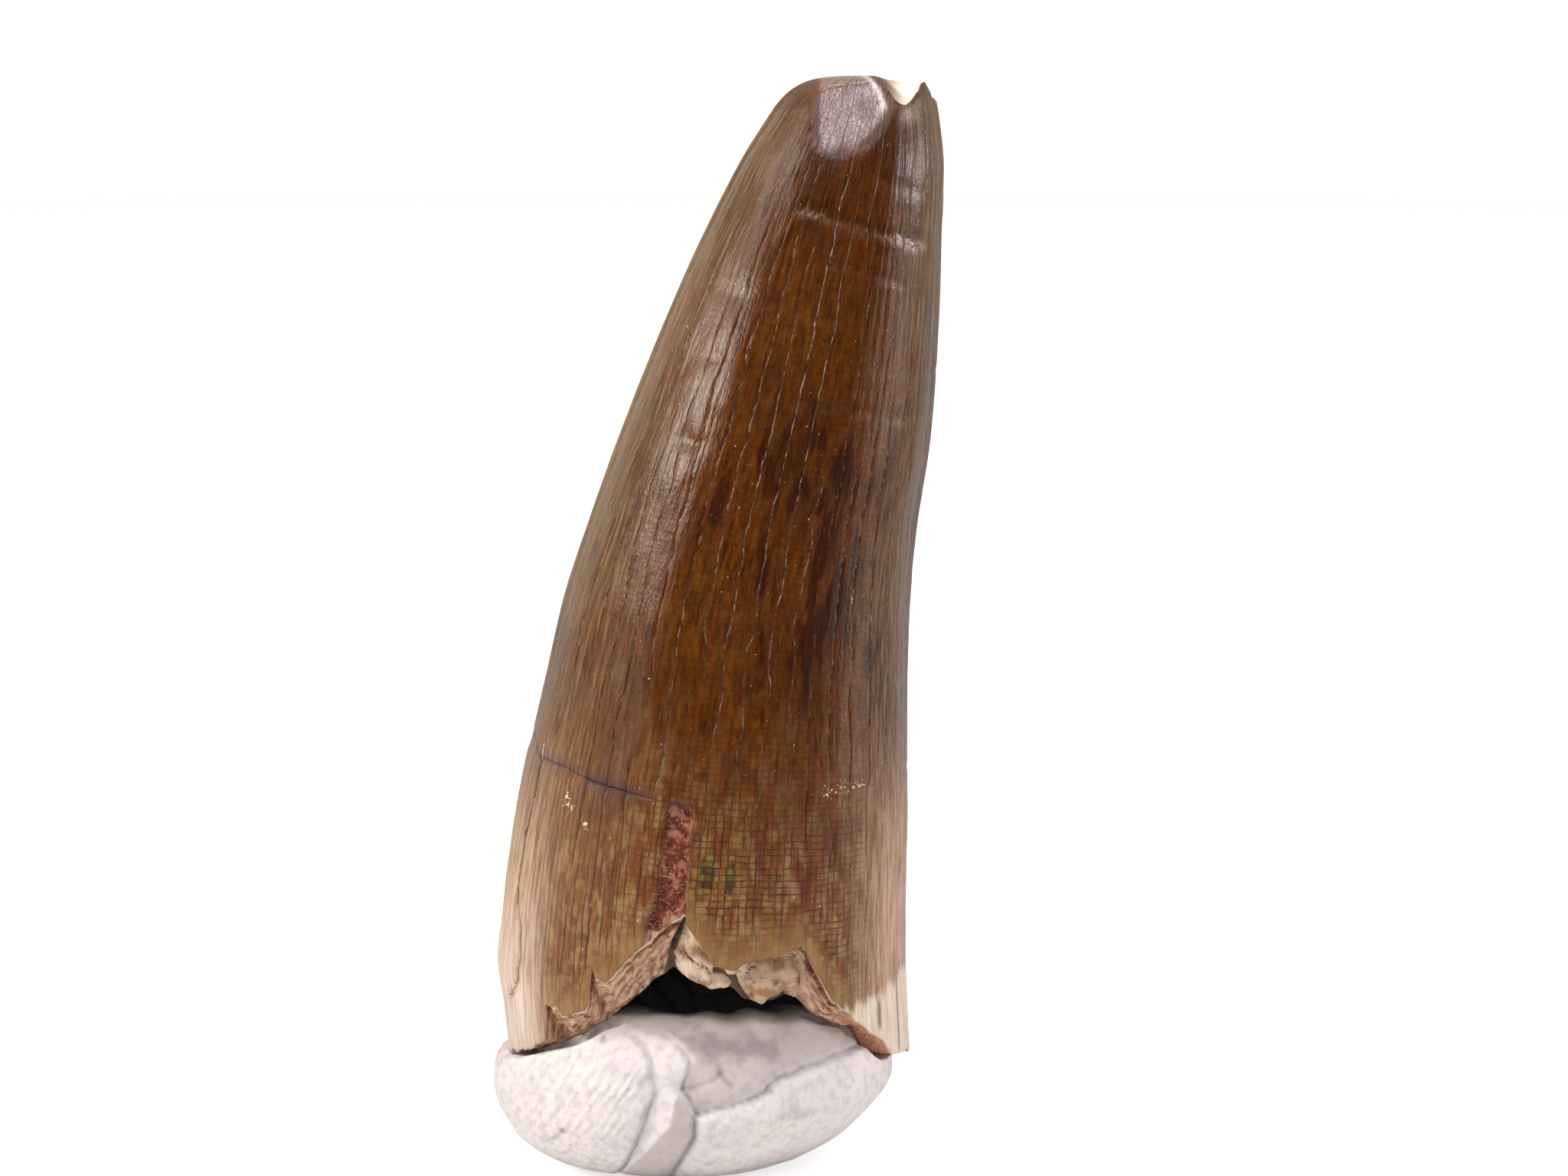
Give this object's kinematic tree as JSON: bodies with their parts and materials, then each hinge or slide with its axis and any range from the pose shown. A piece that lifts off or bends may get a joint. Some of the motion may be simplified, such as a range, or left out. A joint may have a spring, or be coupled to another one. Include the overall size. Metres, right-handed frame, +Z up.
{
  "type": "fossil crocodile tooth on mounting putty",
  "caption": "Hollow, gently curved fossil crocodile tooth with a broken tip and a notched base, standing upright in a lump of soft mounting putty.",
  "frame": {"origin": "bottom centre of the whole: the middle of the bounding box, on the flat the putty stands on", "axes": "+Z up along the standing tooth; -Y is the notched front that the picture shows; the tip leans towards +X"},
  "size_m": [0.019, 0.0172, 0.0456],
  "materials": {
    "enamel": "semi-gloss brown fossil enamel, finely ribbed and crazed, over matte cream dentine where it is broken",
    "putty": "matte white reusable putty, folded and finger-pressed"
  },
  "bodies": {
    "root": {"tooth": "enamel", "putty": "putty"}
  },
  "joints": []
}
